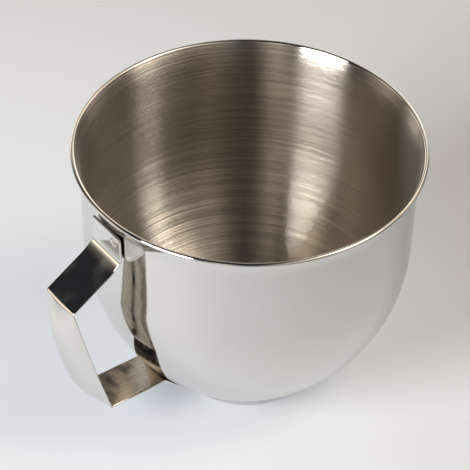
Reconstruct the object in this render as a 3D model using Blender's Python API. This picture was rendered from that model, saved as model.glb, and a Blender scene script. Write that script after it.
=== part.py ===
"""Stand mixer bowl: a drawn steel bowl, a folded strap handle and a twist-lock base ring.

Metres, +Z up. The bowl stands on z = 0 with its axis upright. The handle points
along -X, and the origin lies midway between the handle's outermost point and
the far side of the rim.
"""

import math

import bmesh
import bpy
import numpy as np

# Bowl
RIM_RADIUS = 0.111             # outside of the rolled rim
BOWL_HEIGHT = 0.1816           # from the table to the top of the rim
RIM_ROLL_RADIUS = 0.0015       # outside of the roll's round section
BOWL_WALL = 0.0008             # sheet thickness
WAIST_RADIUS = 0.1042          # outside, where the steep part of the wall starts
WAIST_HEIGHT = 0.1134
WALL_FLARE = 0.0019            # gain in radius from the waist to the rim
WALL_FLARE_POWER = 1.2
LIP_HEIGHT = 0.016             # top of the wall that turns out to meet the roll
UNDERSIDE_HALF_WIDTH = 0.1475  # half axes of the ellipse below the waist
UNDERSIDE_HALF_HEIGHT = 0.1313
FLOOR_HEIGHT = 0.0062          # outside of the flat floor above the table
FLOOR_FILLET = 0.012           # between the flat floor and the ellipse
DIMPLE_RADIUS = 0.022          # raised centre of the floor
DIMPLE_HEIGHT = 0.004

# Base ring, pressed from sheet with two flanges that turn inwards
RING_RADIUS = 0.0448
RING_SHEET = 0.001
RING_BEND = 0.0015             # outside bend radius at both flanges
RING_FOOT_WIDTH = 0.006        # flange that stands on the table
RING_SEAT_WIDTH = 0.011        # flange welded under the bowl
LUG_COUNT = 4                  # the first one lies under the handle
LUG_PROUD = 0.0015             # how far a lug stands out from the ring
LUG_HALF_ANGLE = math.radians(15.0)
LUG_RAMP_ANGLE = math.radians(5.0)
LUG_INSET = 0.0003             # straight skirt left above and below a lug
LUG_SLOPE = 0.0006             # height of the slopes above and below a lug

# Handle, one folded strip; reaches are measured out from the bowl's axis
STRAP_THICKNESS = 0.0015
STRAP_WIDTH = 0.0288
TAB_CORNER = 0.003             # cut corners at both ends of the strip
TOP_TAB_HEIGHT = 0.1680        # upper end of the tab on the wall
TOP_BEND_HEIGHT = 0.1490       # where the strip leaves the wall
TOP_BEND_RADIUS = 0.008
GRIP_TOP_REACH = 0.1398        # inside corner at the top of the grip
GRIP_TOP_HEIGHT = 0.1243
GRIP_FOOT_REACH = 0.1137       # inside corner at the foot of the grip
FOLD_RADIUS = 0.0013
GRIP_ARCH = 0.0094             # height of the arch across the grip
GRIP_ARCH_POWER = 2.5          # higher values keep the arch full closer to the folds
GRIP_BOW = 0.0022              # outward curve along the grip
GRIP_SPREAD = 0.003            # extra half width at the middle of the grip
LOWER_ARM_HEIGHT = 0.0324      # upper face of the level arm under the grip
LOWER_BEND_RADIUS = 0.004
LOWER_TAB_DROP = 0.012         # from the arm down to the lower end of the strip

# Clearance between touching pieces
SEAT_GAP = 0.0003

# Faceting
ROUND_SEGMENTS = 72
DIMPLE_STEPS = 4
FILLET_STEPS = 3
UNDERSIDE_STEPS = 10
WALL_STEPS = 4
LIP_STEPS = 4
ROLL_STEPS = 8
STRIP_COLUMNS = 12
TAB_STEPS = 3
BEND_STEPS = 4
ARM_STEPS = 3
GRIP_STEPS = 13
SHARP_ANGLE = math.radians(35.0)


def clear_scene():
    """Remove whatever the file holds."""
    for item in list(bpy.data.objects):
        bpy.data.objects.remove(item, do_unlink=True)


def steel(name, colour, roughness):
    """Bare stainless steel with the given tint and roughness."""
    material = bpy.data.materials.new(name)
    material.use_nodes = True
    shader = material.node_tree.nodes["Principled BSDF"]
    shader.inputs["Base Color"].default_value = (*colour, 1.0)
    shader.inputs["Metallic"].default_value = 1.0
    shader.inputs["Roughness"].default_value = roughness
    material.diffuse_color = (*colour, 1.0)
    return material


def finish(name, builder, material):
    """Make one named object with smooth shading from a bmesh."""
    mesh = bpy.data.meshes.new(name)
    builder.to_mesh(mesh)
    builder.free()
    mesh.materials.append(material)
    mesh.shade_smooth()
    mesh.set_sharp_from_angle(angle=SHARP_ANGLE)
    piece = bpy.data.objects.new(name, mesh)
    bpy.context.scene.collection.objects.link(piece)
    return piece


def turn(section, closed):
    """Spin a section of (radius, height) points round the bowl's axis into a closed skin."""
    builder = bmesh.new()
    corners = [builder.verts.new((-radius, 0.0, height)) for radius, height in section]
    edges = [builder.edges.new(pair) for pair in zip(corners, corners[1:])]
    if closed:
        edges.append(builder.edges.new((corners[-1], corners[0])))
    bmesh.ops.spin(
        builder,
        geom=corners + edges,
        axis=(0.0, 0.0, 1.0),
        cent=(0.0, 0.0, 0.0),
        angle=math.tau,
        steps=ROUND_SEGMENTS,
        use_merge=True,
    )
    bmesh.ops.remove_doubles(builder, verts=builder.verts, dist=1e-6)
    bmesh.ops.recalc_face_normals(builder, faces=builder.faces)
    return builder


# Bowl


def roll_centre():
    """Centre of the rolled rim's round section, as radius and height."""
    return RIM_RADIUS - RIM_ROLL_RADIUS, BOWL_HEIGHT - RIM_ROLL_RADIUS


def wall_radius(height):
    """Outside radius at a height: an ellipse up to the waist, a slight flare, then the lip."""
    if height < WAIST_HEIGHT:
        drop = (WAIST_HEIGHT - height) / UNDERSIDE_HALF_HEIGHT
        inset = UNDERSIDE_HALF_WIDTH * (1.0 - math.sqrt(max(0.0, 1.0 - drop * drop)))
        return WAIST_RADIUS - inset
    top = roll_centre()[1]
    flare = WALL_FLARE * ((height - WAIST_HEIGHT) / (top - WAIST_HEIGHT)) ** WALL_FLARE_POWER
    lip = max(0.0, (height - top + LIP_HEIGHT) / LIP_HEIGHT)
    lip_flare = RIM_RADIUS - 2.0 * RIM_ROLL_RADIUS + BOWL_WALL - WAIST_RADIUS - WALL_FLARE
    return WAIST_RADIUS + flare + lip_flare * lip * lip


def seat_radius(height):
    """Radius of the surface that lies the seat gap outside the wall."""
    step = 1e-5
    slope = (wall_radius(height + step) - wall_radius(height - step)) / (2.0 * step)
    return wall_radius(height) + SEAT_GAP * math.hypot(1.0, slope)


def underside_point(angle, inset=0.0):
    """Point on the underside's ellipse at an angle below the waist, moved in square to it."""
    across = math.cos(angle) / UNDERSIDE_HALF_WIDTH
    down = math.sin(angle) / UNDERSIDE_HALF_HEIGHT
    length = math.hypot(across, down)
    middle = WAIST_RADIUS - UNDERSIDE_HALF_WIDTH
    radius = middle + UNDERSIDE_HALF_WIDTH * math.cos(angle) - inset * across / length
    height = WAIST_HEIGHT - UNDERSIDE_HALF_HEIGHT * math.sin(angle) + inset * down / length
    return radius, height


def fillet_angle():
    """Angle on the ellipse where the floor's fillet ends, found by halving."""
    low, high = 0.0, math.pi / 2.0
    for _ in range(50):
        middle = (low + high) / 2.0
        if underside_point(middle, FLOOR_FILLET)[1] > FLOOR_HEIGHT + FLOOR_FILLET:
            low = middle
        else:
            high = middle
    return low


def bowl_outline():
    """Outside of the sheet from the floor's centre up to the rim, as (radius, height)."""
    points = []
    for step in range(DIMPLE_STEPS + 1):
        share = step / DIMPLE_STEPS
        rise = DIMPLE_HEIGHT * 0.5 * (1.0 + math.cos(math.pi * share))
        points.append((DIMPLE_RADIUS * share, FLOOR_HEIGHT + rise))
    end_angle = fillet_angle()
    centre = underside_point(end_angle, FLOOR_FILLET)
    end = underside_point(end_angle)
    sweep = math.atan2(end[0] - centre[0], centre[1] - end[1])
    for step in range(FILLET_STEPS):
        angle = sweep * step / FILLET_STEPS
        radius = centre[0] + FLOOR_FILLET * math.sin(angle)
        points.append((radius, centre[1] - FLOOR_FILLET * math.cos(angle)))
    for step in range(UNDERSIDE_STEPS):
        points.append(underside_point(end_angle * (1.0 - step / UNDERSIDE_STEPS)))
    lip_bottom = roll_centre()[1] - LIP_HEIGHT
    for step in range(WALL_STEPS):
        height = WAIST_HEIGHT + (lip_bottom - WAIST_HEIGHT) * step / WALL_STEPS
        points.append((wall_radius(height), height))
    for step in range(LIP_STEPS + 1):
        height = lip_bottom + LIP_HEIGHT * step / LIP_STEPS
        points.append((wall_radius(height), height))
    return points


def offset_line(points, distance):
    """Move a line of points to its left, each run parallel to itself."""
    line = np.array(points)
    runs = np.diff(line, axis=0)
    runs /= np.linalg.norm(runs, axis=1)[:, None]
    sides = np.column_stack([-runs[:, 1], runs[:, 0]])
    before = np.vstack([sides[:1], sides])
    after = np.vstack([sides, sides[-1:]])
    spread = 1.0 + (before * after).sum(axis=1)
    moved = line + distance * (before + after) / spread[:, None]
    return [tuple(point) for point in moved]


def make_bowl(material):
    """The drawn bowl: outside, rolled rim and inside in one closed skin."""
    outside = bowl_outline()
    inside = offset_line(outside, BOWL_WALL)
    inside[0] = (0.0, inside[0][1])
    radius, height = roll_centre()
    start = math.acos(1.0 - BOWL_WALL / RIM_ROLL_RADIUS) - math.pi
    roll = []
    for step in range(ROLL_STEPS + 1):
        angle = start + (math.pi - start) * step / ROLL_STEPS
        across = RIM_ROLL_RADIUS * math.cos(angle)
        roll.append((radius + across, height + RIM_ROLL_RADIUS * math.sin(angle)))
    section = outside[:-1] + roll + inside[-2::-1]
    return finish("bowl", turn(section, closed=False), material)


# Base ring


def arc(centre, radius, first, last, steps):
    """Points on a circle between two angles in degrees."""
    points = []
    for step in range(steps + 1):
        angle = math.radians(first + (last - first) * step / steps)
        points.append((centre[0] + radius * math.cos(angle), centre[1] + radius * math.sin(angle)))
    return points


def ring_seat():
    """Upper face of the seat flange from the inside out, the seat gap under the bowl."""
    seat_inner = RING_RADIUS - RING_SEAT_WIDTH
    seat_outer = RING_RADIUS - RING_BEND
    underside = DIMPLE_STEPS + 1 + FILLET_STEPS + UNDERSIDE_STEPS
    radii, heights = zip(*bowl_outline()[:underside])
    between = [radius for radius in radii if seat_inner < radius < seat_outer]
    seat = []
    for radius in [seat_inner] + between + [seat_outer]:
        seat.append((radius, float(np.interp(radius, radii, heights)) - SEAT_GAP))
    return seat


def shoulder_height():
    """Top of the ring's straight skirt, where the bend to the seat flange begins."""
    return ring_seat()[-1][1] - RING_BEND


def lug_span():
    """Lowest and highest height at which a lug is fully out."""
    margin = LUG_INSET + LUG_SLOPE
    return RING_BEND + margin, shoulder_height() - margin


def ring_section():
    """Closed section: seat flange under the bowl, skirt, and foot flange on the table."""
    bend_radius = RING_RADIUS - RING_BEND
    inner_bend = RING_BEND - RING_SHEET
    seat = ring_seat()
    shoulder = shoulder_height()
    low, high = lug_span()
    section = list(seat)
    section += arc((bend_radius, shoulder), RING_BEND, 45.0, 0.0, 1)
    section += [(RING_RADIUS, height) for height in (high + LUG_SLOPE, high, low, low - LUG_SLOPE)]
    section += arc((bend_radius, RING_BEND), RING_BEND, 0.0, -90.0, 2)
    section += [(RING_RADIUS - RING_FOOT_WIDTH, 0.0), (RING_RADIUS - RING_FOOT_WIDTH, RING_SHEET)]
    section += arc((bend_radius, RING_BEND), inner_bend, -90.0, 0.0, 1)
    section += arc((bend_radius, shoulder), inner_bend, 0.0, 45.0, 1)
    section += [(radius, height - RING_SHEET) for radius, height in reversed(seat[:-1])]
    return section


def lug_share(angle):
    """How far a lug is out at an angle round the ring, from 0 to 1."""
    pitch = math.tau / LUG_COUNT
    aside = abs((angle + pitch / 2.0) % pitch - pitch / 2.0)
    return min(1.0, max(0.0, (LUG_HALF_ANGLE - aside) / LUG_RAMP_ANGLE))


def make_base_ring(material):
    """The pressed ring that the bowl stands on, with lugs that turn into the mixer's plate."""
    builder = turn(ring_section(), closed=True)
    low, high = lug_span()
    reach = 1e-5
    for corner in builder.verts:
        radius = math.hypot(corner.co.x, corner.co.y)
        at_lug = low - reach < corner.co.z < high + reach
        if at_lug and radius > RING_RADIUS - reach:
            angle = math.atan2(corner.co.y, -corner.co.x)
            scale = (RING_RADIUS + LUG_PROUD * lug_share(angle)) / RING_RADIUS
            corner.co.x *= scale
            corner.co.y *= scale
    return finish("base_ring", builder, material)


# Handle


def rounded(before, corner, after, radius):
    """Points of an arc that rounds a corner between two straight runs."""
    corner = np.array(corner)
    back = np.array(before) - corner
    ahead = np.array(after) - corner
    back /= np.linalg.norm(back)
    ahead /= np.linalg.norm(ahead)
    half = math.acos(float(np.clip(np.dot(back, ahead), -1.0, 1.0))) / 2.0
    middle = (back + ahead) / np.linalg.norm(back + ahead)
    centre = corner + middle * radius / math.sin(half)
    start = corner + back * radius / math.tan(half) - centre
    side = -middle * radius
    side -= start * np.dot(side, start) / radius**2
    side *= radius / np.linalg.norm(side)
    sweep = math.pi - 2.0 * half
    points = []
    for step in range(BEND_STEPS + 1):
        angle = sweep * step / BEND_STEPS
        points.append(centre + start * math.cos(angle) + side * math.sin(angle))
    return points


def grip_point(along, across):
    """Inside face of the grip at shares from its top to its foot and from edge to edge."""
    top = np.array([GRIP_TOP_REACH, GRIP_TOP_HEIGHT])
    foot = np.array([GRIP_FOOT_REACH, LOWER_ARM_HEIGHT])
    run = (foot - top) / np.linalg.norm(foot - top)
    outward = np.array([-run[1], run[0]])
    full = math.sqrt(max(0.0, 1.0 - abs(2.0 * along - 1.0) ** GRIP_ARCH_POWER))
    bulge = GRIP_ARCH * full * (1.0 - across * across)
    bulge += GRIP_BOW * 4.0 * along * (1.0 - along)
    return top + (foot - top) * along + outward * bulge


def strip_line(across):
    """Inside face of the strip from end to end, as (reach, height, half width) points.

    The share across runs from -1 to 1. Both tabs are flat across and touch the
    round wall along their middle.
    """
    half = STRAP_WIDTH / 2.0
    end_height = LOWER_ARM_HEIGHT - LOWER_TAB_DROP

    def on_wall(height):
        return np.array([seat_radius(height), height])

    def between(first, last, steps):
        return [first + (last - first) * step / steps for step in range(1, steps)]

    shares = [0.5 - 0.5 * math.cos(math.pi * step / GRIP_STEPS) for step in range(1, GRIP_STEPS)]
    grip = [grip_point(share, across) for share in shares]
    grip_top = grip_point(0.0, across)
    grip_foot = grip_point(1.0, across)
    wall_top = on_wall(TOP_BEND_HEIGHT)
    wall_foot = on_wall(LOWER_ARM_HEIGHT)
    tab_end = on_wall(end_height)
    upper_bend = rounded(on_wall(TOP_TAB_HEIGHT), wall_top, grip_top, TOP_BEND_RADIUS)
    upper_fold = rounded(wall_top, grip_top, grip[0], FOLD_RADIUS)
    lower_fold = rounded(grip[-1], grip_foot, wall_foot, FOLD_RADIUS)
    lower_bend = rounded(grip_foot, wall_foot, tab_end, LOWER_BEND_RADIUS)

    line = [(*on_wall(TOP_TAB_HEIGHT), half - TAB_CORNER)]
    tab_top = TOP_TAB_HEIGHT - TAB_CORNER
    for step in range(TAB_STEPS):
        height = tab_top + (upper_bend[0][1] - tab_top) * step / TAB_STEPS
        line.append((*on_wall(height), half))
    line += [(*point, half) for point in upper_bend]
    line += [(*point, half) for point in between(upper_bend[-1], upper_fold[0], ARM_STEPS)]
    line += [(*point, half) for point in upper_fold]
    for share, point in zip(shares, grip):
        line.append((*point, half + GRIP_SPREAD * 4.0 * share * (1.0 - share)))
    line += [(*point, half) for point in lower_fold]
    line += [(*point, half) for point in between(lower_fold[-1], lower_bend[0], ARM_STEPS)]
    line += [(*point, half) for point in lower_bend]
    run = lower_bend[-1] - tab_end
    corner_height = end_height + TAB_CORNER * run[1] / np.linalg.norm(run)
    for step in range(1, TAB_STEPS + 1):
        height = lower_bend[-1][1] + (corner_height - lower_bend[-1][1]) * step / TAB_STEPS
        line.append((*on_wall(height), half))
    line.append((*tab_end, half - TAB_CORNER))
    return line


def make_handle(material):
    """The strip as a grid of faces, thickened away from the bowl."""
    builder = bmesh.new()
    rows = []
    for column in range(STRIP_COLUMNS + 1):
        across = 2.0 * column / STRIP_COLUMNS - 1.0
        row = []
        for reach, height, half in strip_line(across):
            row.append(builder.verts.new((-reach, half * across, height)))
        rows.append(row)
    for row, beside in zip(rows, rows[1:]):
        for step in range(len(row) - 1):
            builder.faces.new((row[step], beside[step], beside[step + 1], row[step + 1]))
    handle = finish("handle", builder, material)
    sheet = handle.modifiers.new("sheet", "SOLIDIFY")
    sheet.thickness = STRAP_THICKNESS
    sheet.offset = 1.0
    sheet.use_even_offset = True
    return handle


def main():
    """Build the three pieces round the bowl's axis, then centre them on the origin."""
    clear_scene()
    polished = steel("polished_steel", (0.72, 0.71, 0.70), 0.08)
    satin = steel("satin_steel", (0.62, 0.61, 0.60), 0.25)
    bowl = make_bowl(polished)
    ring = make_base_ring(satin)
    handle = make_handle(polished)
    bpy.context.view_layer.update()
    depsgraph = bpy.context.evaluated_depsgraph_get()
    strip = handle.evaluated_get(depsgraph).to_mesh()
    reach = -min(corner.co.x for corner in strip.vertices)
    for piece in (bowl, ring, handle):
        piece.location.x = (reach - RIM_RADIUS) / 2.0


main()
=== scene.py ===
"""Stand mixer bowl: the polished and brushed steel surfaces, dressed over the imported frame.

Metres, in the frame of the solids: the bowl stands on z = 0, and its handle points
along -X. The script is laid out as an add-on with one operator for each piece.
"""

import math

import bpy
import numpy as np
from bpy.props import FloatProperty, FloatVectorProperty, IntProperty, PointerProperty
from mathutils import Matrix, Vector


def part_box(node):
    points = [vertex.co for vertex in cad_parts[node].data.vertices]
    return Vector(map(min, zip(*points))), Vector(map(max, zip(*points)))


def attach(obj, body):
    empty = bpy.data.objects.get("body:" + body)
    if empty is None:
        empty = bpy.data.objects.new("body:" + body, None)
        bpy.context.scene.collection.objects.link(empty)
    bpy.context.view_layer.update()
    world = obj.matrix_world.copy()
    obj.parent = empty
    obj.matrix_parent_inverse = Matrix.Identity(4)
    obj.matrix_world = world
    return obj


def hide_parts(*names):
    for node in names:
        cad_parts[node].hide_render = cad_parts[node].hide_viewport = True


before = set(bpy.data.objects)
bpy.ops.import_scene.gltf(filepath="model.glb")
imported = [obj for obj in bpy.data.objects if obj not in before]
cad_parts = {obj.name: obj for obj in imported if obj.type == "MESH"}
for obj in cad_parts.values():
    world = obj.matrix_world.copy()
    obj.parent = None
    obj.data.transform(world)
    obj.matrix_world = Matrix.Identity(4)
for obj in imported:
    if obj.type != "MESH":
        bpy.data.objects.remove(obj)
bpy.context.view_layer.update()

bl_info = {
    "name": "Stand mixer bowl",
    "version": (1, 0, 0),
    "blender": (4, 5, 0),
    "location": "View3D > Sidebar > Mixer bowl",
    "description": "Builds a deep drawn steel bowl with its strap handle and base ring",
    "category": "Add Mesh",
}

SENSOR_WIDTH = 36.0
BOWL_LOW, BOWL_HIGH = (Vector(corner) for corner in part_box("bowl"))
AXIS_X = (BOWL_LOW.x + BOWL_HIGH.x) / 2.0


# Settings


def number(name, description, default):
    """A plain number as a property."""
    return FloatProperty(name=name, description=description, default=default)


def metres(name, description, default):
    """A length as a property."""
    return FloatProperty(name=name, description=description, default=default, unit="LENGTH")


def degrees(name, description, default):
    """An angle as a property, with its default in degrees."""
    return FloatProperty(name=name, description=description, default=math.radians(default), unit="ROTATION")


def rgb(name, description, default):
    """A colour as a property."""
    return FloatVectorProperty(
        name=name, description=description, default=default, subtype="COLOR", min=0.0, max=1.0
    )


class BowlSizes(bpy.types.PropertyGroup):
    """Sizes of the drawn bowl; radii and heights are those of its outside."""

    rim_radius: metres("Rim radius", "Outside of the rolled rim", 0.111)
    height: metres("Height", "From the table to the top of the rim", 0.1816)
    roll_radius: metres("Roll radius", "Round section of the rolled rim", 0.0015)
    sheet: metres("Sheet", "Thickness of the bowl's sheet", 0.0008)
    waist_radius: metres("Waist radius", "Where the steep wall starts", 0.1042)
    waist_height: metres("Waist height", "Height where the steep wall starts", 0.1134)
    wall_flare: metres("Wall flare", "Gain in radius from waist to rim", 0.0019)
    flare_power: number("Flare power", "Higher values flare the wall later", 1.2)
    lip_height: metres("Lip height", "Top of the wall that turns out", 0.012)
    underside_width: metres("Underside half width", "Ellipse below the waist", 0.1475)
    underside_height: metres("Underside half height", "Ellipse below the waist", 0.1313)
    floor_height: metres("Floor height", "Outside of the flat floor", 0.0062)
    floor_fillet: metres("Floor fillet", "Between floor and ellipse", 0.012)
    dimple_radius: metres("Dimple radius", "Raised centre of the floor", 0.022)
    dimple_height: metres("Dimple height", "Rise of the floor's centre", 0.004)


class RingSizes(bpy.types.PropertyGroup):
    """Sizes of the pressed base ring and its lugs."""

    radius: metres("Radius", "Outside of the skirt", 0.0448)
    sheet: metres("Sheet", "Thickness of the ring's sheet", 0.001)
    bend: metres("Bend", "Outside bend radius at both flanges", 0.0015)
    foot_width: metres("Foot width", "Flange on the table", 0.006)
    seat_width: metres("Seat width", "Flange under the bowl", 0.011)
    lug_count: IntProperty(
        name="Lugs", description="Twist-lock lugs, the first under the handle", default=4, min=1
    )
    lug_proud: metres("Lug proud", "How far a lug stands out", 0.0015)
    lug_half_angle: degrees("Lug half angle", "From a lug's middle to its end", 15.0)
    lug_ramp: degrees("Lug ramp", "Angle over which a lug rises", 5.0)
    lug_inset: metres("Lug inset", "Straight skirt above and below a lug", 0.0003)
    lug_slope: metres("Lug slope", "Height of a lug's upper and lower slope", 0.0006)


class StrapSizes(bpy.types.PropertyGroup):
    """Sizes of the folded strap handle; reaches are measured out from the bowl's axis."""

    sheet: metres("Sheet", "Thickness of the strap", 0.0015)
    width: metres("Width", "Width of the strap", 0.0297)
    tab_corner: metres("Tab corner", "Rounded corners at both ends", 0.003)
    edge_round: metres("Edge round", "Rounding of all the strap's edges", 0.00065)
    top_tab_height: metres("Top tab height", "Upper end of the tab", 0.1680)
    top_bend_height: metres("Top bend height", "Where the strap leaves the wall", 0.1490)
    top_bend_spread: metres("Top bend spread", "Softness of the upper bend", 0.0022)
    panel_sweep: metres("Panel sweep", "Length of the panel's curve at the wall", 0.011)
    panel_lift: metres("Panel lift", "Rise of that curve at the wall", 0.0021)
    grip_top_reach: metres("Grip top reach", "Inside corner above the grip", 0.1406)
    grip_top_height: metres("Grip top height", "Inside corner above the grip", 0.1243)
    grip_foot_reach: metres("Grip foot reach", "Inside corner below the grip", 0.1150)
    fold_spread: metres("Fold spread", "Softness of both folds", 0.0006)
    grip_arch: metres("Grip arch", "Height of the arch across the grip", 0.0098)
    grip_arch_power: number("Grip arch power", "Fullness of the arch near the folds", 3.6)
    grip_bow: metres("Grip bow", "Outward curve along the grip", 0.0022)
    grip_spread: metres("Grip spread", "Extra half width at the grip's middle", 0.0036)
    lower_arm_height: metres("Lower arm height", "Upper face of the level arm", 0.0324)
    lower_bend_spread: metres("Lower bend spread", "Softness of the lower bend", 0.0015)
    lower_tab_drop: metres("Lower tab drop", "From the arm to the strap's end", 0.012)
    seat_gap: metres("Seat gap", "Between strap or ring and the bowl", 0.0003)
    weld_height: metres("Weld height", "Height of both spot welds", 0.162)
    weld_aside: metres("Weld aside", "From the strap's middle to a weld", 0.00835)
    weld_radius: metres("Weld radius", "Size of a spot weld's mark", 0.0024)
    weld_depth: metres("Weld depth", "Depth of a spot weld's mark", 0.00025)


class SteelFinish(bpy.types.PropertyGroup):
    """Colours and gloss of the steel."""

    polished_colour: rgb("Polished steel", "Tint of the mirror polish", (0.80, 0.785, 0.755))
    polished_roughness: number("Polish roughness", "Gloss of the mirror polish", 0.06)
    brushed_colour: rgb("Brushed steel", "Tint of the brushed inside", (0.58, 0.545, 0.505))
    brushed_roughness: number("Brush roughness", "Gloss across the brush lines", 0.27)
    brush_tilt: number("Brush tilt", "How steeply the sides of the brush lines lean", 2.0)
    brush_lines: number("Brush lines", "Lines along the bowl's whole section", 790.0)
    satin_colour: rgb("Satin steel", "Tint of the base ring", (0.74, 0.73, 0.71))
    # Dark colour of the sheared ends: dull cut steel, partly painted shade of the gap under the rim
    cut_and_shade_colour: rgb("Cut steel", "Tint of the strap's sheared ends", (0.24, 0.23, 0.21))
    grained_colour: rgb("Grained steel", "Tint of the strap's inside face", (0.58, 0.53, 0.455))
    grained_roughness: number("Grain roughness", "Gloss across the strap's grain", 0.22)


class StageSettings(bpy.types.PropertyGroup):
    """Camera and light, with bearings measured round the bowl's axis."""

    distance: metres("Distance", "From the camera to its aim", 1.6)
    aim_height: metres("Aim height", "Where the camera aims on the axis", 0.10)
    elevation: degrees("Elevation", "Downward angle of the view", 41.217)
    handle_bearing: degrees("Handle bearing", "From image left round to the handle", 37.19)
    yaw: degrees("Yaw", "Turn of the view to the right", -0.2849)
    pitch: degrees("Pitch", "Tilt of the view upwards", 0.2211)
    roll: degrees("Roll", "Turn of the camera on its own axis", 1.4786)
    lens: number("Lens", "Focal length on a 36 mm sensor", 191.84)
    floor_colour: rgb("Floor", "Pale tabletop", (0.745, 0.79, 0.84))
    floor_glow: rgb("Floor glow", "Added where it is seen or mirrored", (0.128, 0.147, 0.166))
    # Reach of the painted fall-off of light in the floor that the steel mirrors
    painted_floor_fade: metres("Floor fade", "Reach of the tabletop's light in the steel", 0.75)
    backdrop_colour: rgb("Backdrop", "Pale wall, for the camera alone", (0.74, 0.75, 0.75))
    room_colour: rgb("Room", "Dim room above the table", (0.021, 0.022, 0.025))


# Bowl


def circle_points(centre, radius, angles):
    """Points at angles on a circle: centre + radius (cos, sin)."""
    return np.array(centre) + radius * np.stack([np.cos(angles), np.sin(angles)], axis=-1)


def roll_centre(sizes):
    """Centre of the rolled rim's round section, as radius and height."""
    return sizes.rim_radius - sizes.roll_radius, sizes.height - sizes.roll_radius


def wall_radius(sizes, height):
    """Outside radius at heights: an ellipse up to the waist, then a power flare plus a squared lip."""
    height = np.asarray(height, dtype=float)
    drop = np.clip((sizes.waist_height - height) / sizes.underside_height, 0.0, 1.0)
    inset = sizes.underside_width * (1.0 - np.sqrt(1.0 - drop * drop))
    top = roll_centre(sizes)[1]
    climb = np.clip((height - sizes.waist_height) / (top - sizes.waist_height), 0.0, None)
    lip = np.clip((height - top + sizes.lip_height) / sizes.lip_height, 0.0, None)
    lip_flare = sizes.rim_radius - 2.0 * sizes.roll_radius + sizes.sheet
    lip_flare -= sizes.waist_radius + sizes.wall_flare
    flare = sizes.wall_flare * climb**sizes.flare_power
    return sizes.waist_radius - inset + flare + lip_flare * lip * lip


def underside_point(sizes, angle, inset=0.0):
    """Ellipse below the waist at an angle, moved in along its own normal by an inset."""
    across = np.cos(angle) / sizes.underside_width
    down = np.sin(angle) / sizes.underside_height
    length = np.hypot(across, down)
    middle = sizes.waist_radius - sizes.underside_width
    radius = middle + sizes.underside_width * np.cos(angle) - inset * across / length
    height = sizes.waist_height - sizes.underside_height * np.sin(angle) + inset * down / length
    return np.stack([radius, height], axis=-1)


def bowl_outline(sizes):
    """Outside of the sheet from the floor's centre to the roll, as (radius, height) rows.

    The raised centre is half a cosine wave. A circular fillet joins the flat floor
    to the ellipse, where its centre stands the fillet's radius above the floor.
    """
    share = np.linspace(0.0, 1.0, 13)
    rise = sizes.dimple_height * 0.5 * (1.0 + np.cos(math.pi * share))
    dimple = np.stack([sizes.dimple_radius * share, sizes.floor_height + rise], axis=-1)
    angles = np.linspace(0.0, math.pi / 2.0, 4001)
    lifts = underside_point(sizes, angles, sizes.floor_fillet)[:, 1]
    fillet_height = sizes.floor_height + sizes.floor_fillet
    end_angle = float(np.interp(-fillet_height, -lifts, angles))
    centre = underside_point(sizes, end_angle, sizes.floor_fillet)
    end = underside_point(sizes, end_angle)
    sweep = math.atan2(end[0] - centre[0], centre[1] - end[1])
    turn = np.linspace(0.0, sweep, 9)[:-1]
    fillet = centre + sizes.floor_fillet * np.stack([np.sin(turn), -np.cos(turn)], axis=-1)
    underside = underside_point(sizes, np.linspace(end_angle, 0.0, 49)[:-1])
    lip_bottom = roll_centre(sizes)[1] - sizes.lip_height
    heights = np.concatenate([
        np.linspace(sizes.waist_height, lip_bottom, 13)[:-1],
        np.linspace(lip_bottom, roll_centre(sizes)[1], 17),
    ])
    wall = np.stack([wall_radius(sizes, heights), heights], axis=-1)
    return np.concatenate([dimple, fillet, underside, wall])


def offset_line(line, distance):
    """Move a line of points to its left, each run parallel to itself."""
    runs = np.diff(line, axis=0)
    runs /= np.linalg.norm(runs, axis=1)[:, None]
    sides = np.column_stack([-runs[:, 1], runs[:, 0]])
    before = np.vstack([sides[:1], sides])
    after = np.vstack([sides, sides[-1:]])
    spread = 1.0 + (before * after).sum(axis=1)
    return line + distance * (before + after) / spread[:, None]


def bowl_section(sizes):
    """Outside, rolled rim and inside in one line from pole to pole, and where the brushing starts.

    The roll is polished. The brushing starts near its end, at an angle of 2.8 radians on its
    section, which meets the inside at pi.
    """
    brushing_angle = 2.8
    outside = bowl_outline(sizes)
    inside = offset_line(outside, sizes.sheet)
    inside[0, 0] = 0.0
    start = math.acos(1.0 - sizes.sheet / sizes.roll_radius) - math.pi
    angles = np.linspace(start, math.pi, 25)
    roll = circle_points(roll_centre(sizes), sizes.roll_radius, angles)
    section = np.concatenate([outside[:-1], roll, inside[-2::-1]])
    return section, len(outside) - 1 + int(np.argmax(angles > brushing_angle))


# Base ring


def arc(centre, radius, first, last, steps):
    """Points on a circle between two angles in degrees."""
    return circle_points(centre, radius, np.radians(np.linspace(first, last, steps + 1)))


def ring_seat(bowl, ring, gap):
    """Upper face of the seat flange, the seat gap under the bowl, from the inside out.

    Only the outline's rows up to the waist are used, where the radius always grows.
    """
    outline = bowl_outline(bowl)
    outline = outline[:np.argmax(outline[:, 1] >= bowl.waist_height) + 1]
    radii = np.linspace(ring.radius - ring.seat_width, ring.radius - ring.bend, 12)
    return np.stack([radii, np.interp(radii, outline[:, 0], outline[:, 1]) - gap], axis=-1)


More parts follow.
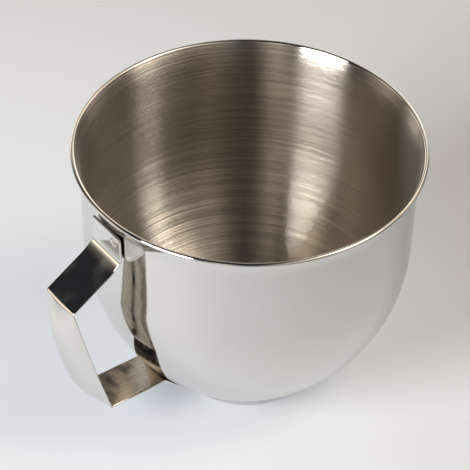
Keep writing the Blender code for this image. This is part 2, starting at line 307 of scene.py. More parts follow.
def ring_section(bowl, ring, gap):
    """Closed section: seat flange, skirt with the lug's heights, and foot flange."""
    seat = ring_seat(bowl, ring, gap)
    bend_radius = ring.radius - ring.bend
    shoulder = seat[-1, 1] - ring.bend
    inner_bend = ring.bend - ring.sheet
    foot_inner = ring.radius - ring.foot_width
    heights = np.linspace(shoulder, ring.bend, 19)[1:-1]
    skirt = np.stack([np.full(len(heights), ring.radius), heights], axis=-1)
    edge = ring.sheet / 2.0
    return np.concatenate([
        seat[1:],
        arc((bend_radius, shoulder), ring.bend, 60.0, 0.0, 5),
        skirt,
        arc((bend_radius, ring.bend), ring.bend, 0.0, -90.0, 8),
        arc((foot_inner + edge, edge), edge, -90.0, -270.0, 6),
        arc((bend_radius, ring.bend), inner_bend, -90.0, 0.0, 5),
        arc((bend_radius, shoulder), inner_bend, 0.0, 60.0, 4),
        seat[-2:0:-1] - (0.0, ring.sheet),
        arc(seat[0] + (edge, -edge), edge, 270.0, 90.0, 6),
    ])


def lug_share(ring, angles):
    """How far a lug is out at angles from the handle, from 0 to 1, with the ramp 3 s^2 - 2 s^3."""
    pitch = math.tau / ring.lug_count
    aside = np.abs((angles + pitch / 2.0) % pitch - pitch / 2.0)
    share = np.clip((ring.lug_half_angle - aside) / ring.lug_ramp, 0.0, 1.0)
    return share * share * (3.0 - 2.0 * share)


# Handle


# Angles of the rows that round the strap's edges
EDGE_TURN = np.linspace(0.0, math.pi / 2.0, 5)[1:]


def seat_line(bowl, gap, heights):
    """The surface that lies the seat gap outside the wall, as (reach, height) rows."""
    step = 1e-5
    slope = (wall_radius(bowl, heights + step) - wall_radius(bowl, heights - step)) / (2.0 * step)
    return np.stack([wall_radius(bowl, heights) + gap * np.hypot(1.0, slope), heights], axis=-1)


def strap_path(bowl, strap, across):
    """Inside face of the strap with sharp corners, on a grid along by across.

    Returns points (reach, height), the half widths and the lengths along the edge.
    The panel is straight, with a squared lift near the wall. The grip's arch is
    1 - |2a - 1|^power along and 1 - c^2 across, for shares a from its top to its foot
    and c from its middle to its edges.
    """
    margin = 0.004
    step = 0.0003
    end_height = strap.lower_arm_height - strap.lower_tab_drop
    top_tab = seat_line(bowl, strap.seat_gap,
                        np.arange(strap.top_tab_height + margin, strap.top_bend_height, -step))
    wall_top = seat_line(bowl, strap.seat_gap, np.array([strap.top_bend_height]))
    grip_top = np.array([strap.grip_top_reach, strap.grip_top_height])
    grip_foot = np.array([strap.grip_foot_reach, strap.lower_arm_height])
    wall_foot = seat_line(bowl, strap.seat_gap, np.array([strap.lower_arm_height]))
    low_tab = seat_line(bowl, strap.seat_gap,
                        np.arange(strap.lower_arm_height, end_height - margin, -step))

    panel_share = np.linspace(0.0, 1.0, 120)[:-1, None]
    lift = np.array([0.0, strap.panel_lift])
    run = grip_top - wall_top + lift
    sweep = np.clip(1.0 - panel_share * np.linalg.norm(run) / strap.panel_sweep, 0.0, 1.0)
    panel = wall_top - lift + run * panel_share + lift * sweep**2
    share = 0.5 - 0.5 * np.cos(np.linspace(0.0, math.pi, 361)[:-1])
    run = (grip_foot - grip_top) / np.linalg.norm(grip_foot - grip_top)
    outward = np.array([-run[1], run[0]])
    full = 1.0 - np.abs(2.0 * share - 1.0) ** strap.grip_arch_power
    rise = strap.grip_arch * full[:, None] * (1.0 - across[None, :] ** 2)
    rise += strap.grip_bow * 4.0 * (share * (1.0 - share))[:, None]
    grip = (grip_top + (grip_foot - grip_top) * share[:, None])[:, None, :] + rise[..., None] * outward
    arm_share = np.linspace(0.0, 1.0, 60)[:-1, None]
    arm = grip_foot + (wall_foot - grip_foot) * arm_share

    flat = [np.repeat(part[:, None, :], len(across), axis=1) for part in (top_tab, panel, arm, low_tab)]
    path = np.concatenate([flat[0], flat[1], grip, flat[2], flat[3]])
    spread = np.zeros(len(path))
    first = len(top_tab) + len(panel)
    spread[first:first + len(share)] = strap.grip_spread * 4.0 * share * (1.0 - share)
    edge = path[:, 0]
    length = np.concatenate([[0.0], np.cumsum(np.linalg.norm(np.diff(edge, axis=0), axis=1))])
    return path, strap.width / 2.0 + spread, length


def soften(path, length, stations, spreads):
    """Weighted mean of the path about each station, with a bell curve as wide as its spread."""
    steps = np.gradient(length)
    weights = np.exp(-0.5 * ((stations[:, None] - length[None, :]) / spreads[:, None]) ** 2) * steps
    weights /= weights.sum(axis=1)[:, None]
    return np.tensordot(weights, path, axes=(1, 0))


def strap_columns(strap):
    """Shares across the strap from -1 to 1, closer together round both spot welds."""
    weld_share = 0.25
    least_share = 0.02
    middle = strap.weld_aside / (strap.width / 2.0)
    near = middle + np.linspace(-weld_share, weld_share, 21)
    wide = np.linspace(-1.0, 1.0, 35)
    apart = np.abs(np.abs(wide)[:, None] - near[None, :]).min(axis=1) > least_share
    return np.sort(np.concatenate([wide[apart], near, -near]))


def strap_surface(bowl, strap):
    """Inside face, outward normals, side directions and end directions on one grid of the strap.

    The rows lie closer together at the welds and in the bends. The corners of both tabs are
    quarter circles, which take corner - sqrt(corner^2 - short^2) off the half width.
    """
    weld_reach = 0.012
    weld_step = 0.0003
    bend_step = 0.0004
    flat_step = 0.0012
    least_step = 0.0001
    # Rows of the path at both ends, where it only goes down
    top_rows = slice(0, 40)
    foot_rows = slice(-60, None)
    across = strap_columns(strap)
    path, half, length = strap_path(bowl, strap, across)
    edge = path[:, 0]

    def place(corner):
        """Length along the edge of the path's point closest to a corner."""
        return length[np.argmin(np.linalg.norm(edge - corner, axis=1))]

    top_bend = place(seat_line(bowl, strap.seat_gap, np.array([strap.top_bend_height]))[0])
    lower_bend = place(seat_line(bowl, strap.seat_gap, np.array([strap.lower_arm_height]))[0])
    grip_top = place((strap.grip_top_reach, strap.grip_top_height))
    grip_foot = place((strap.grip_foot_reach, strap.lower_arm_height))
    start = float(np.interp(-strap.top_tab_height, -edge[top_rows, 1], length[top_rows])) + strap.edge_round
    end_height = strap.lower_arm_height - strap.lower_tab_drop
    end = float(np.interp(-end_height, -edge[foot_rows, 1], length[foot_rows])) - strap.edge_round

    fine = [np.arange(start, start + weld_reach, weld_step)]
    # Each bend or fold, and how far the fine rows reach on both sides of it
    for middle, reach in ((top_bend, 0.009), (grip_top, 0.004), (grip_foot, 0.004), (lower_bend, 0.006)):
        fine.append(np.arange(middle - reach, middle + reach, bend_step))
    coarse = np.arange(start, end, flat_step)
    taken = np.concatenate(fine)
    apart = np.abs(coarse[:, None] - taken[None, :]).min(axis=1) > weld_step
    stations = np.unique(np.concatenate([coarse[apart], taken, [start, end]]))
    stations = stations[(stations >= start) & (stations <= end)]
    stations = stations[np.concatenate([[True], np.diff(stations) > least_step])]

    spreads = np.full(len(stations), strap.fold_spread)
    # A bend keeps its own spread up to 3 spreads away, and loses it by 6
    for middle, spread in ((top_bend, strap.top_bend_spread), (lower_bend, strap.lower_bend_spread)):
        near = np.clip(1.0 - np.abs(stations - middle) / (6.0 * spread), 0.0, 1.0)
        spreads += (spread - strap.fold_spread) * np.minimum(1.0, 2.0 * near)
    soft = soften(path, length, stations, spreads)
    halves = np.interp(stations, length, half)
    for distance in (stations - start, end - stations):
        short = np.clip(strap.tab_corner - strap.edge_round - distance, 0.0, None)
        halves = halves - (strap.tab_corner - np.sqrt(np.clip(strap.tab_corner**2 - short**2, 0.0, None)))

    side = across[None, :] * (halves - strap.edge_round)[:, None]
    inner = np.stack([-soft[..., 0], side, soft[..., 1]], axis=-1)
    along = np.gradient(inner, stations, axis=0)
    beside = np.gradient(inner, axis=1)
    normal = np.cross(beside, along)
    for field in (normal, beside, along):
        field /= np.linalg.norm(field, axis=-1, keepdims=True)
    return inner, normal, beside, along


def weld_marks(strap, inner):
    """Depth of both spot welds' marks at the points of the inside face.

    With the distance d from its middle in weld radii, a mark is a dent that is flat up to
    d = 1 and runs out at 1.3, less 0.3 of a raised lip, e to the power -((d - 1.5) / 0.2)^2.
    """
    run_out = 0.3
    lip_middle = 1.5
    lip_width = 0.2
    lip_rise = 0.3
    aside = np.abs(inner[..., 1]) - strap.weld_aside
    distance = np.hypot(aside, inner[..., 2] - strap.weld_height) / strap.weld_radius
    dent = np.clip((1.0 + run_out - distance) / run_out, 0.0, 1.0)
    lip = np.exp(-((distance - lip_middle) / lip_width) ** 2)
    return strap.weld_depth * (dent - lip_rise * lip)


def strap_loops(strap, inner, normal, beside, depth_cut):
    """Closed loops round the strap at each station, with rounded edges.

    A loop runs along the inside face, round one edge, back along the outside face
    and round the other edge. depth_cut sinks the outside face at the spot welds.
    """
    thick = strap.sheet
    radius = strap.edge_round
    across, up = np.sin(EDGE_TURN), np.cos(EDGE_TURN)
    corner_out = radius * np.concatenate([across, up])
    corner_deep = np.concatenate([radius * (1.0 - up), thick - radius * (1.0 - across)])
    loops = [inner]
    for column, sign in ((-1, 1.0), (0, -1.0)):
        base = inner[:, column]
        rounding = base[:, None] + sign * corner_out[None, :, None] * beside[:, column][:, None]
        rounding = rounding + corner_deep[None, :, None] * normal[:, column][:, None]
        if column == -1:
            loops.append(rounding[:, :-1])
            outer = inner + (thick - depth_cut)[..., None] * normal
            loops.append(outer[:, ::-1])
        else:
            loops.append(rounding[:, -2::-1])
    return np.concatenate(loops, axis=1)


def strap_end(strap, loop, inner, normal, beside, along):
    """Loops past one end of the strap, from the end outwards, that round its edge off.

    Each array holds the end's row alone, and along points out of the strap. At an angle t
    of the rounding, a loop is moved out by the radius times sin t, and cut to the end's
    rectangle less the radius times 1 - cos t on all sides.
    """
    middle = (inner + 0.5 * strap.sheet * normal).mean(axis=0)
    thick_way = normal.mean(axis=0)
    side_way = beside.mean(axis=0)
    outward = along.mean(axis=0)
    offset = loop - middle
    deep = offset @ thick_way
    wide = offset @ side_way
    rest = offset - deep[:, None] * thick_way - wide[:, None] * side_way
    caps = []
    for angle in EDGE_TURN:
        inset = strap.edge_round * (1.0 - math.cos(angle))
        half_deep = strap.sheet / 2.0 - inset
        half_wide = np.abs(wide).max() - inset
        moved = np.clip(deep, -half_deep, half_deep)[:, None] * thick_way
        moved = moved + np.clip(wide, -half_wide, half_wide)[:, None] * side_way + rest
        caps.append(middle + moved + strap.edge_round * math.sin(angle) * outward)
    return np.stack(caps)


# Meshes


def grid_faces(rows, columns, wrap_rows=False):
    """Quads on a grid whose last column joins its first, and their corners as (column, row)."""
    row, column = np.indices((rows if wrap_rows else rows - 1, columns))
    around = np.array([(0, 0), (1, 0), (1, 1), (0, 1)])
    places = (np.stack([column, row], axis=-1)[..., None, :] + around).reshape(-1, 4, 2)
    return places[..., 1] % rows * columns + places[..., 0] % columns, places


def pole_fan(pole, ring, columns, pole_share, ring_share, step):
    """Triangles from a pole to a ring of points, and their places on the surface.

    The ring's first point has the number given as ring. A step of 1 runs round it
    with its columns, and -1 against them.
    """
    column = np.arange(columns)
    first, second = (column, column + 1)[::step]
    faces = np.stack([np.full(columns, pole), ring + first % columns, ring + second % columns], axis=-1)
    turns = np.stack([column + 0.5, first, second], axis=-1) / columns
    shares = np.broadcast_to([pole_share, ring_share, ring_share], turns.shape)
    return faces, np.stack([turns, shares], axis=-1)


def new_object(name, data):
    """An object in the scene with the given mesh, lamp or camera."""
    made = bpy.data.objects.new(name, data)
    bpy.context.scene.collection.objects.link(made)
    return made


def add_piece(name, node, points, faces, uvs, materials, indices):
    """One smooth piece from arrays, which rides on the body and stands for its node."""
    sharp_angle = math.radians(40.0)
    corners = np.concatenate([block.ravel() for block in faces])
    counts = np.concatenate([np.full(len(block), block.shape[1]) for block in faces])
    mesh = bpy.data.meshes.new(name)
    mesh.vertices.add(len(points))
    mesh.vertices.foreach_set("co", np.ascontiguousarray(points, dtype=np.float32).ravel())
    mesh.loops.add(len(corners))
    mesh.loops.foreach_set("vertex_index", corners.astype(np.int32))
    mesh.polygons.add(len(counts))
    mesh.polygons.foreach_set("loop_start", (np.cumsum(counts) - counts).astype(np.int32))
    mesh.polygons.foreach_set("material_index", indices.astype(np.int32))
    mesh.update(calc_edges=True)
    layer = mesh.uv_layers.new(name="surface")
    places = np.concatenate([block.reshape(-1, 2) for block in uvs])
    layer.data.foreach_set("uv", places.astype(np.float32).ravel())
    if mesh.validate(verbose=False):
        raise RuntimeError(f"{name} has faults in its mesh")
    for material in materials:
        mesh.materials.append(material)
    mesh.shade_smooth()
    mesh.set_sharp_from_angle(angle=sharp_angle)
    piece = new_object(name, mesh)
    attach(piece, "root")
    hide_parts(node)
    return piece


def column_angles(columns):
    """Equal angles round the axis."""
    return np.linspace(0.0, math.tau, columns + 1)[:-1]


def turned_points(section, angles):
    """Carry (radius, height) rows round the axis: angle 0 points to the handle."""
    radius = section[:, 0][:, None]
    across = AXIS_X - radius * np.cos(angles)[None, :]
    aside = -radius * np.sin(angles)[None, :]
    height = np.repeat(section[:, 1][:, None], len(angles), axis=1)
    return np.stack([across, aside, height], axis=-1)


# Materials


# Heights of the bumps for faint waves and for fine lines
WAVE_DEPTH = 0.0002
LINE_DEPTH = 0.00002


def new_material(name, colour, roughness):
    """A metal and its node tree, ready for more nodes."""
    material = bpy.data.materials.new(name)
    material.use_nodes = True
    tree = material.node_tree
    shader = tree.nodes["Principled BSDF"]
    shader.inputs["Base Color"].default_value = (*colour, 1.0)
    shader.inputs["Metallic"].default_value = 1.0
    shader.inputs["Roughness"].default_value = roughness
    return material, tree, shader


def add_node(tree, kind, **values):
    """A node with the given attributes."""
    node = tree.nodes.new(kind)
    for key, value in values.items():
        setattr(node, key, value)
    return node


def add_math(tree, operation, first, second):
    """A Math node on two sockets or numbers; returns its output."""
    node = add_node(tree, "ShaderNodeMath", operation=operation)
    for socket, value in zip(node.inputs, (first, second)):
        if isinstance(value, (int, float)):
            socket.default_value = value
        else:
            tree.links.new(value, socket)
    return node.outputs[0]


def add_vector_math(tree, operation, vector, fixed):
    """A Vector Math node on a socket and a fixed vector; returns its outputs."""
    node = add_node(tree, "ShaderNodeVectorMath", operation=operation)
    tree.links.new(vector, node.inputs[0])
    node.inputs[1].default_value = fixed
    return node.outputs


def add_noise(tree, vector, scale, detail=2.0, roughness=0.5):
    """A Noise texture on a vector; returns its factor."""
    node = add_node(tree, "ShaderNodeTexNoise")
    node.inputs["Scale"].default_value = scale
    node.inputs["Detail"].default_value = detail
    node.inputs["Roughness"].default_value = roughness
    tree.links.new(vector, node.inputs["Vector"])
    return node.outputs["Fac"]


def add_range(tree, value, old, new):
    """A Map Range node that carries the pair old to the pair new; returns its result."""
    node = add_node(tree, "ShaderNodeMapRange")
    for socket, limit in zip(node.inputs[1:5], (*old, *new)):
        socket.default_value = limit
    tree.links.new(value, node.inputs["Value"])
    return node.outputs["Result"]


def add_bump(tree, shader, height, distance):
    """A Bump node into the shader's normal."""
    bump = add_node(tree, "ShaderNodeBump")
    bump.inputs["Strength"].default_value = 1.0
    bump.inputs["Distance"].default_value = distance
    tree.links.new(height, bump.inputs["Height"])
    tree.links.new(bump.outputs["Normal"], shader.inputs["Normal"])


def add_shade(tree, shader, colour, shade):
    """A base colour that a factor makes lighter or darker."""
    tint = add_node(tree, "ShaderNodeVectorMath", operation="SCALE")
    tint.inputs[0].default_value = colour
    tree.links.new(shade, tint.inputs["Scale"])
    tree.links.new(tint.outputs["Vector"], shader.inputs["Base Color"])


def object_place(tree):
    """The Object coordinates."""
    return add_node(tree, "ShaderNodeTexCoord").outputs["Object"]


def stretched_noise(tree, scales):
    """Noise with a scale of its own along each axis, for grain and cutting marks."""
    stretched = add_node(tree, "ShaderNodeMapping")
    stretched.inputs["Scale"].default_value = scales
    tree.links.new(object_place(tree), stretched.inputs["Vector"])
    return add_noise(tree, stretched.outputs["Vector"], scale=1.0, roughness=0.6)


def follow_surface(tree, shader):
    """Lay the shader's tangent along the piece's own UV map."""
    tangent = add_node(tree, "ShaderNodeTangent", direction_type="UV_MAP", uv_map="surface")
    tree.links.new(tangent.outputs["Tangent"], shader.inputs["Tangent"])


def split_vector(tree, vector):
    """A Separate XYZ node; returns its outputs."""
    node = add_node(tree, "ShaderNodeSeparateXYZ")
    tree.links.new(vector, node.inputs["Vector"])
    return node.outputs


def polished_steel(finish):
    """Mirror polish with a faint waviness and cloudy gloss."""
    roughness = finish.polished_roughness
    material, tree, shader = new_material("polished_steel", finish.polished_colour, roughness)
    position = object_place(tree)
    waves = add_noise(tree, position, scale=22.0, detail=1.0)
    clouds = add_noise(tree, position, scale=60.0, detail=4.0)
    gloss = add_range(tree, clouds, (0.3, 0.7), (roughness * 0.7, roughness * 1.5))
    tree.links.new(gloss, shader.inputs["Roughness"])
    add_bump(tree, shader, waves, WAVE_DEPTH)
    return material


def brushed_steel(finish):
    """Fine lines round the axis, whose sides lean up and down, so that a lamp draws a tall streak.

    Both the lines and the finer scratches between them are noise stretched round the axis.
    They lean the surface along the profile only, which keeps the streak's sides sharp, and
    the lines also darken the colour where they are deeper.
    """
    material, tree, shader = new_material("brushed_steel", finish.brushed_colour, finish.brushed_roughness)
    shader.inputs["Anisotropic"].default_value = 1.0
    shader.inputs["Anisotropic Rotation"].default_value = 0.25
    follow_surface(tree, shader)
    round_scale = 7.0
    scratches_in_line = 11.0
    line_share = 0.05
    place = split_vector(tree, object_place(tree))
    surface = split_vector(tree, add_node(tree, "ShaderNodeUVMap", uv_map="surface").outputs["UV"])
    stretched = add_node(tree, "ShaderNodeCombineXYZ")
    for axis in "XY":
        tree.links.new(add_math(tree, "MULTIPLY", place[axis], round_scale), stretched.inputs[axis])
    tree.links.new(add_math(tree, "MULTIPLY", surface["Y"], finish.brush_lines), stretched.inputs["Z"])
    lines = add_noise(tree, stretched.outputs["Vector"], scale=1.0, roughness=0.6)
    finer = add_vector_math(tree, "MULTIPLY", stretched.outputs["Vector"], (1.0, 1.0, scratches_in_line))
    scratches = add_noise(tree, finer["Vector"], scale=1.0, roughness=0.6)
    broad = add_math(tree, "MULTIPLY", lines, line_share)
    leaning = add_math(tree, "ADD", broad, add_math(tree, "MULTIPLY", scratches, 1.0 - line_share))
    tilt = finish.brush_tilt / 4.0
    lean = add_range(tree, leaning, (0.0, 1.0), (0.5 - tilt, 0.5 + tilt))
    slope = add_node(tree, "ShaderNodeCombineXYZ")
    slope.inputs["X"].default_value = 0.5
    slope.inputs["Z"].default_value = 1.0
    tree.links.new(lean, slope.inputs["Y"])
    normal = add_node(tree, "ShaderNodeNormalMap", uv_map="surface")
    tree.links.new(slope.outputs["Vector"], normal.inputs["Color"])
    tree.links.new(normal.outputs["Normal"], shader.inputs["Normal"])
    add_shade(tree, shader, finish.brushed_colour, add_range(tree, lines, (0.35, 0.65), (0.8, 1.15)))
    return material


def satin_steel(finish):
    """Pressed sheet with a soft shine."""
    material, tree, shader = new_material("satin_steel", finish.satin_colour, roughness=0.22)
    clouds = add_noise(tree, object_place(tree), scale=180.0, detail=3.0)
    gloss = add_range(tree, clouds, (0.3, 0.7), (0.18, 0.28))
    tree.links.new(gloss, shader.inputs["Roughness"])
    return material


def strap_steel(finish):
    """Polished outside of the strap, with cloudy marks of handling in its gloss."""
    roughness = finish.polished_roughness
    material, tree, shader = new_material("strap_steel", finish.polished_colour, roughness)
    position = object_place(tree)
    clouds = add_noise(tree, position, scale=70.0, detail=4.0, roughness=0.6)
    gloss = add_range(tree, clouds, (0.42, 0.72), (roughness, roughness + 0.2))
    tree.links.new(gloss, shader.inputs["Roughness"])
    add_bump(tree, shader, add_noise(tree, position, scale=45.0, detail=1.0), WAVE_DEPTH)
    return material


def grained_steel(finish):
    """Inside of the strap as it left the mill: a dull grain that runs along it."""
    roughness = finish.grained_roughness
    material, tree, shader = new_material("grained_steel", finish.grained_colour, roughness)
    shader.inputs["Anisotropic"].default_value = 0.6
    follow_surface(tree, shader)
    lines = stretched_noise(tree, (14.0, 1100.0, 14.0))
    patches = add_noise(tree, object_place(tree), scale=90.0, detail=3.0, roughness=0.6)
    gloss = add_range(tree, patches, (0.35, 0.65), (roughness - 0.1, roughness + 0.1))
    tree.links.new(gloss, shader.inputs["Roughness"])
    shade = add_math(tree, "MULTIPLY", add_range(tree, lines, (0.3, 0.7), (0.86, 1.08)),
                     add_range(tree, patches, (0.35, 0.65), (0.86, 1.1)))
    add_shade(tree, shader, finish.grained_colour, shade)
    add_bump(tree, shader, lines, LINE_DEPTH)
    return material


def cut_and_shaded_steel(finish):
    """Sheared ends of the strap: dull, with short marks from the blade through the sheet. Their dark colour
    is partly painted shade, for the shaded gap under the rim above the top end.
    """
    material, tree, shader = new_material("cut_and_shaded_steel", finish.cut_and_shade_colour, roughness=0.42)
    marks = stretched_noise(tree, (300.0, 2500.0, 300.0))
    gloss = add_range(tree, marks, (0.3, 0.7), (0.34, 0.5))
    tree.links.new(gloss, shader.inputs["Roughness"])
    add_bump(tree, shader, marks, LINE_DEPTH)
    return material


# Operators


class MIXER_BOWL_OT_bowl(bpy.types.Operator):
    """Build the drawn bowl: polished outside and rim, brushed inside"""

    bl_idname = "mixer_bowl.bowl"
    bl_label = "Bowl"

    def execute(self, context):
        settings = context.scene.mixer_bowl
        sizes, finish = settings.bowl, settings.finish
        section, brushed_start = bowl_section(sizes)
        columns = 288
        angles = column_angles(columns)
        rings = turned_points(section[1:-1], angles)
        rows = len(rings)
        poles = turned_points(section[[0, -1]], angles[:1])[:, 0]
        points = np.concatenate([rings.reshape(-1, 3), poles])
        lengths = np.concatenate([[0.0], np.cumsum(np.linalg.norm(np.diff(section, axis=0), axis=1))])
        shares = lengths / lengths[-1]
        quads, places = grid_faces(rows, columns)
        quad_uvs = np.stack([places[..., 0] / columns, shares[1:-1][places[..., 1]]], axis=-1)
        pole = rows * columns
        under, under_uv = pole_fan(pole, 0, columns, 0.0, shares[1], -1)
        above, above_uv = pole_fan(pole + 1, pole - columns, columns, 1.0, shares[-2], 1)
        is_brushed = places[:, 0, 1] + 1 >= brushed_start
        indices = np.concatenate([is_brushed, np.zeros(columns), np.ones(columns)])
        add_piece(
            "steel_bowl", "bowl", points, [quads, under, above],
            [quad_uvs, under_uv, above_uv], [polished_steel(finish), brushed_steel(finish)], indices,
        )
        return {"FINISHED"}


class MIXER_BOWL_OT_base_ring(bpy.types.Operator):
    """Build the pressed base ring with its twist-lock lugs"""

    bl_idname = "mixer_bowl.base_ring"
    bl_label = "Base ring"

    def execute(self, context):
        settings = context.scene.mixer_bowl
        bowl, ring, gap = settings.bowl, settings.ring, settings.strap.seat_gap
        section = ring_section(bowl, ring, gap)
        columns = 480
        angles = column_angles(columns)
        shoulder = ring_seat(bowl, ring, gap)[-1, 1] - ring.bend
        height = section[:, 1]
        low = ring.bend + ring.lug_inset
        high = shoulder - ring.lug_inset
        rise = np.clip(np.minimum(height - low, high - height) / ring.lug_slope, 0.0, 1.0)
        rise *= section[:, 0] > ring.radius - 1e-6
        points = turned_points(section, angles)
        push = 1.0 + ring.lug_proud / ring.radius * rise[:, None] * lug_share(ring, angles)[None, :]
        points[..., 0] = AXIS_X + (points[..., 0] - AXIS_X) * push
        points[..., 1] *= push
        faces, places = grid_faces(len(section), columns, wrap_rows=True)
        add_piece(
            "pressed_ring", "base_ring", points.reshape(-1, 3), [faces[:, ::-1]],
            [places[:, ::-1] / (columns, len(section))],
            [satin_steel(settings.finish)], np.zeros(len(faces)),
        )
        return {"FINISHED"}


class MIXER_BOWL_OT_handle(bpy.types.Operator):
    """Build the folded strap handle with its rounded edges and spot-weld marks"""

    bl_idname = "mixer_bowl.handle"
    bl_label = "Handle"

    def execute(self, context):
        settings = context.scene.mixer_bowl
        bowl, strap, finish = settings.bowl, settings.strap, settings.finish
        inner, normal, beside, along = strap_surface(bowl, strap)
        loops = strap_loops(strap, inner, normal, beside, weld_marks(strap, inner))
        ends = [
            strap_end(strap, loops[row], inner[row], normal[row], beside[row], sign * along[row])
            for row, sign in ((0, -1.0), (-1, 1.0))
        ]
        grid = np.concatenate([ends[0][::-1], loops, ends[1]])
        grid[..., 0] += AXIS_X
        rows, columns = grid.shape[:2]
        faces, places = grid_faces(rows, columns)
        column = np.arange(columns)
        caps = [column[None, :], ((rows - 1) * columns + column)[None, ::-1]]
        cap_uvs = [np.zeros((1, columns, 2)), np.ones((1, columns, 2))]
        is_inside = places[:, 0, 0] < inner.shape[1] - 1
        # Rows at both ends take the cut steel, whose dark colour is partly painted shade
        is_end = np.minimum(places[:, 0, 1], rows - 2 - places[:, 0, 1]) < len(EDGE_TURN)
        add_piece(
            "strap_handle", "handle", grid.reshape(-1, 3), [faces[:, ::-1]] + caps,
            [places[:, ::-1] / (columns, rows)] + cap_uvs,
            [strap_steel(finish), grained_steel(finish), cut_and_shaded_steel(finish)],
            np.concatenate([np.where(is_end, 2, is_inside), [2, 2]]),
        )
        return {"FINISHED"}


class MIXER_BOWL_OT_stage(bpy.types.Operator):
    """Set up the floor, the room, the lamp and the camera"""

    bl_idname = "mixer_bowl.stage"
    bl_label = "Stage"

    def execute(self, context):
        stage = context.scene.mixer_bowl.stage
        add_floor(stage)
        add_room(stage)
        add_lamp(stage)
        add_camera(stage)
        context.scene.view_settings.view_transform = "Standard"
        return {"FINISHED"}


# Stage


def aim_point(stage):
    """The point on the bowl's axis that camera, lamp and glows are measured from."""
    return Vector((AXIS_X, 0.0, stage.aim_height))


def from_view(stage, bearing, elevation, distance):
    """A place at a distance from the aim point, with its bearing and elevation in degrees.

    The bearing runs from image right, anticlockwise from above.
    """
    bearing, elevation = math.radians(bearing), math.radians(elevation)
    flat = distance * math.cos(elevation)
    place = Vector((flat * math.cos(bearing), flat * math.sin(bearing), distance * math.sin(elevation)))
    turn = Matrix.Rotation(-stage.handle_bearing, 3, "Z")
    return turn @ place + aim_point(stage)


def add_floor(stage):
    """A pale matt tabletop with a faint glow, and painted light that is brightest at the lamp's side.

    Both fades are painted light and shade, and run with the distance from a point there: the glow that the
    camera sees, and the colour and glow that the steel mirrors.
    """
    reach = 3.0
    glow_start, glow_end, far_glow = 0.12, 0.42, 0.3
    painted_near_light, painted_far_light = 1.05, 0.35
    corners = [(-reach, -reach, 0.0), (reach, -reach, 0.0), (reach, reach, 0.0), (-reach, reach, 0.0)]
    mesh = bpy.data.meshes.new("tabletop")
    mesh.from_pydata(corners, [], [(0, 1, 2, 3)])
    material = bpy.data.materials.new("tabletop")
    material.use_nodes = True
    tree = material.node_tree
    shader = tree.nodes["Principled BSDF"]
    shader.inputs["Roughness"].default_value = 0.6
    shader.inputs["Specular IOR Level"].default_value = 0.2
    shader.inputs["Emission Color"].default_value = (*stage.floor_glow, 1.0)
    path = add_node(tree, "ShaderNodeLightPath").outputs
    camera = path["Is Camera Ray"]
    # Middle of the painted light on the floor, on the lamp's side
    lamp_side = from_view(stage, bearing=180.0, elevation=0.0, distance=0.2)
    away = add_vector_math(tree, "DISTANCE", object_place(tree), (lamp_side.x, lamp_side.y, 0.0))["Value"]
    # Painted shade: the mirrored floor's colour and glow darken away from the lamp side
    near = add_range(tree, away, (0.0, stage.painted_floor_fade), (painted_near_light, painted_far_light))
    here = add_math(tree, "MAXIMUM", camera, near)
    # Painted fall-off of light: the glow that the camera sees fades away from the lamp side
    fall = add_range(tree, away, (glow_start, glow_end), (1.0, far_glow))
    fall = add_math(tree, "MAXIMUM", fall, add_math(tree, "SUBTRACT", 1.0, camera))
    seen = add_math(tree, "MAXIMUM", camera, path["Is Glossy Ray"])
    seen = add_math(tree, "MAXIMUM", seen, path["Is Transmission Ray"])
    glow = add_math(tree, "MULTIPLY", add_math(tree, "MULTIPLY", seen, here), fall)
    tree.links.new(glow, shader.inputs["Emission Strength"])
    # Floor colour, with the painted shade for every ray but the camera's
    add_shade(tree, shader, stage.floor_colour, here)
    mesh.materials.append(material)
    floor = new_object("tabletop", mesh)


# Bearing, elevation and width in degrees, and colour, of each glow in the room
ROOM_GLOWS = (
    (22.0, 4.0, 9.0, (0.75, 0.68, 0.60)),
    (67.0, 4.0, 10.0, (1.65, 1.60, 1.50)),
    (124.0, 4.0, 9.0, (2.60, 2.35, 2.20)),
    (178.0, 10.0, 8.0, (1.58, 1.36, 1.10)),
    (190.0, 3.0, 7.0, (0.38, 0.35, 0.32)),
    (285.0, 4.0, 7.0, (0.55, 0.60, 0.54)),
    (325.0, 4.0, 9.0, (0.90, 0.80, 0.70)),
    (68.0, 19.0, 8.0, (0.75, 0.72, 0.65)),
    (255.0, 17.0, 7.0, (1.40, 1.28, 1.10)),
    (15.0, 30.0, 7.0, (1.00, 0.84, 0.68)),
    (345.0, 30.0, 7.0, (1.40, 1.18, 0.92)),
    (78.0, 30.0, 10.0, (1.00, 0.90, 0.75)),
    (304.0, 39.0, 8.0, (1.45, 1.20, 0.96)),
    (353.0, 53.0, 9.0, (7.60, 6.60, 5.40)),
    (54.0, 43.0, 7.0, (2.40, 2.05, 1.60)),
    (108.0, 43.0, 7.0, (0.75, 0.62, 0.50)),
)


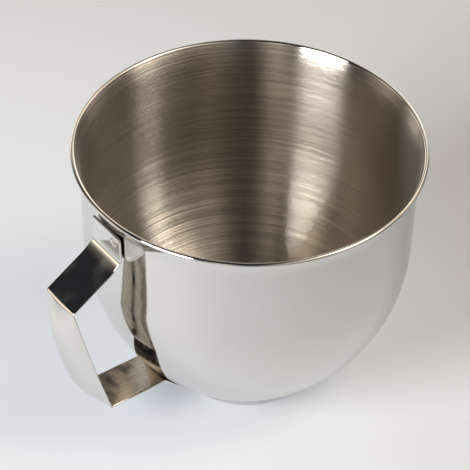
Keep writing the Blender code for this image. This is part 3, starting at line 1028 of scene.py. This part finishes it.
def add_room(stage):
    """The dim room: dark all round, with soft glows where its paler walls and windows stand.

    Each glow is e to the power k (c - 1), where c is the cosine of the angle from its middle
    and k the inverse square of its width in radians.
    """
    world = bpy.data.worlds.new("room")
    bpy.context.scene.world = world
    world.use_nodes = True
    tree = world.node_tree
    background = tree.nodes["Background"]
    way = add_node(tree, "ShaderNodeTexCoord").outputs["Generated"]
    total = add_node(tree, "ShaderNodeRGB").outputs[0]
    total.default_value = (*stage.room_colour, 1.0)
    for bearing, elevation, width, colour in ROOM_GLOWS:
        middle = from_view(stage, bearing, elevation, 1.0) - aim_point(stage)
        cosine = add_vector_math(tree, "DOT_PRODUCT", way, middle)["Value"]
        fall = 1.0 / math.radians(width) ** 2
        power = add_math(tree, "MULTIPLY", add_math(tree, "SUBTRACT", cosine, 1.0), fall)
        glow = add_math(tree, "POWER", math.e, power)
        blend = add_node(tree, "ShaderNodeVectorMath", operation="MULTIPLY_ADD")
        blend.inputs[0].default_value = colour
        tree.links.new(glow, blend.inputs[1])
        tree.links.new(total, blend.inputs[2])
        total = blend.outputs["Vector"]
    backdrop = add_node(tree, "ShaderNodeMix", data_type="RGBA")
    dim, pale, mixed = backdrop.inputs[6], backdrop.inputs[7], backdrop.outputs[2]
    tree.links.new(add_node(tree, "ShaderNodeLightPath").outputs["Is Camera Ray"], backdrop.inputs["Factor"])
    tree.links.new(total, dim)
    pale.default_value = (*stage.backdrop_colour, 1.0)
    tree.links.new(mixed, background.inputs["Color"])


def add_lamp(stage):
    """A wide round key lamp, low at the front left, that faces the bowl."""
    bearing, elevation, distance = 222.8, 26.4, 2.0
    lamp = bpy.data.lights.new("key_lamp", "AREA")
    lamp.shape = "DISK"
    lamp.size = 1.04
    lamp.energy = 36.0
    lamp.color = (1.0, 0.97, 0.94)
    holder = new_object("key_lamp", lamp)
    holder.location = from_view(stage, bearing, elevation, distance)
    aim = aim_point(stage) - holder.location
    holder.rotation_euler = aim.to_track_quat("-Z", "Y").to_euler()


def add_camera(stage):
    """The photograph's view, set by elevation, bearing and small turns of the camera."""
    forward = Vector((0.0, math.cos(stage.elevation), -math.sin(stage.elevation)))
    up = Vector((0.0, math.sin(stage.elevation), math.cos(stage.elevation)))
    basis = Matrix((Vector((1.0, 0.0, 0.0)), up, -forward)).transposed()
    turn = Matrix.Rotation(-stage.handle_bearing, 3, "Z")
    basis = turn @ basis @ Matrix.Rotation(-stage.yaw, 3, "Y") @ Matrix.Rotation(stage.pitch, 3, "X")
    basis = basis @ Matrix.Rotation(stage.roll, 3, "Z")
    lens = bpy.data.cameras.new("camera")
    lens.lens = stage.lens
    lens.sensor_width = SENSOR_WIDTH
    camera = new_object("camera", lens)
    place = aim_point(stage) - turn @ forward * stage.distance
    camera.matrix_world = Matrix.Translation(place) @ basis.to_4x4()
    bpy.context.scene.camera = camera


class MixerBowlSettings(bpy.types.PropertyGroup):
    """All settings of the bowl."""

    bowl: PointerProperty(type=BowlSizes, name="Bowl", description="Sizes of the drawn bowl")
    ring: PointerProperty(type=RingSizes, name="Base ring", description="Sizes of the base ring")
    strap: PointerProperty(type=StrapSizes, name="Handle", description="Sizes of the strap handle")
    finish: PointerProperty(type=SteelFinish, name="Finish", description="Colours and gloss")
    stage: PointerProperty(type=StageSettings, name="Stage", description="Camera and light")


class MIXER_BOWL_PT_pieces(bpy.types.Panel):
    """Buttons for the bowl's pieces and its stage"""

    bl_label = "Stand mixer bowl"
    bl_idname = "MIXER_BOWL_PT_pieces"
    bl_space_type = "VIEW_3D"
    bl_region_type = "UI"
    bl_category = "Mixer bowl"

    def draw(self, context):
        for operator in PIECES:
            self.layout.operator(operator.bl_idname)


PIECES = (MIXER_BOWL_OT_bowl, MIXER_BOWL_OT_base_ring, MIXER_BOWL_OT_handle, MIXER_BOWL_OT_stage)
GROUPS = (BowlSizes, RingSizes, StrapSizes, SteelFinish, StageSettings, MixerBowlSettings)


def register():
    """Add the classes and the settings on the scene."""
    for item in (*GROUPS, *PIECES, MIXER_BOWL_PT_pieces):
        bpy.utils.register_class(item)
    bpy.types.Scene.mixer_bowl = PointerProperty(type=MixerBowlSettings)


def unregister():
    """Take the settings and the classes away again."""
    del bpy.types.Scene.mixer_bowl
    for item in reversed((*GROUPS, *PIECES, MIXER_BOWL_PT_pieces)):
        bpy.utils.unregister_class(item)


def main():
    """Build all pieces and the stage."""
    register()
    bpy.ops.mixer_bowl.bowl()
    bpy.ops.mixer_bowl.base_ring()
    bpy.ops.mixer_bowl.handle()
    bpy.ops.mixer_bowl.stage()


if __name__ == "__main__":
    main()
